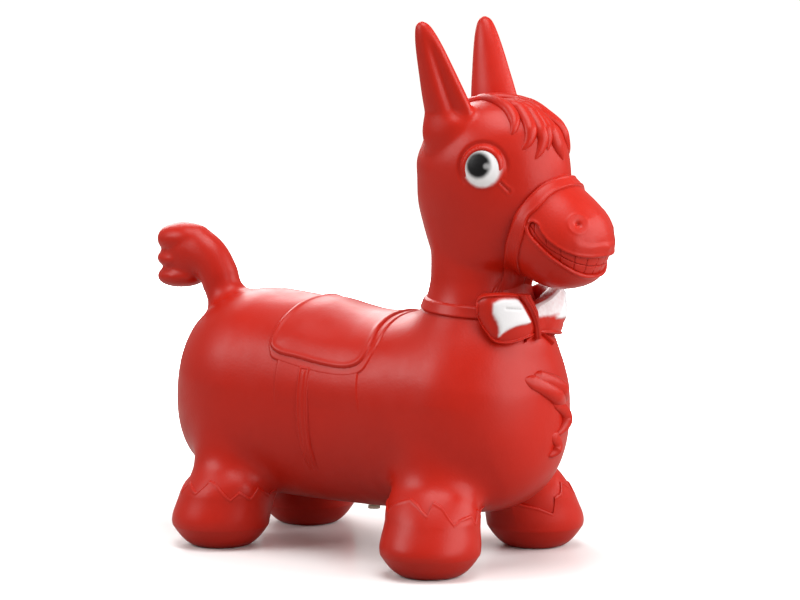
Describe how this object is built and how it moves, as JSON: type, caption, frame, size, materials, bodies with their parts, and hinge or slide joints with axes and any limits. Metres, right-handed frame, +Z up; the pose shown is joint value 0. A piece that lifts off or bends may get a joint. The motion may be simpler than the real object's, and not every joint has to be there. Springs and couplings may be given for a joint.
{
  "type": "bouncy ride-on animal",
  "caption": "Inflatable donkey to sit and bounce on: hollow soft skin with saddle, upright ears to hold, smiling muzzle, bow tie, round hooves and an air plug under the belly.",
  "frame": {"origin": "on the floor under the middle of the bounding box", "axes": "+X towards the nose, +Y towards the animal's left side, +Z up"},
  "size_m": [0.5634, 0.3, 0.5645],
  "materials": {
    "skin": "satin red soft PVC",
    "white_paint": "white paint on PVC",
    "black_paint": "black paint on PVC",
    "valve": "cream moulded plastic"
  },
  "bodies": {
    "animal": {"torso": "skin", "neck": "skin", "head": "skin", "muzzle": "skin", "tail": "skin", "ear_left": "skin", "ear_right": "skin", "leg_front_left": "skin", "leg_front_right": "skin", "leg_rear_left": "skin", "leg_rear_right": "skin", "hoof_front_left": "skin", "hoof_front_right": "skin", "hoof_rear_left": "skin", "hoof_rear_right": "skin", "saddle": "skin", "saddle_flap_left": "skin", "saddle_flap_right": "skin", "girth_left": "skin", "girth_right": "skin", "neck_strap": "skin", "bow_loop_left": "skin", "bow_loop_right": "skin", "bow_knot": "skin", "bow_tail_left": "skin", "bow_tail_right": "skin", "noseband": "skin", "forelock": "skin", "upper_teeth": "skin", "lower_teeth": "skin", "eyelid_left": "skin", "eyelid_right": "skin", "chest_tuft_upper": "skin", "chest_tuft_middle": "skin", "chest_tuft_lower": "skin", "bow_panel_left": "white_paint", "bow_panel_right": "white_paint", "eye_left": "white_paint", "eye_right": "white_paint", "pupil_left": "black_paint", "pupil_right": "black_paint", "valve_seat": "valve"},
    "plug": {"valve_plug": "valve"}
  },
  "joints": [
    {"name": "plug_pull", "type": "slide", "parent": "animal", "child": "plug", "axis": [0, 0, -1], "range_m": [0, 0.025]}
  ]
}
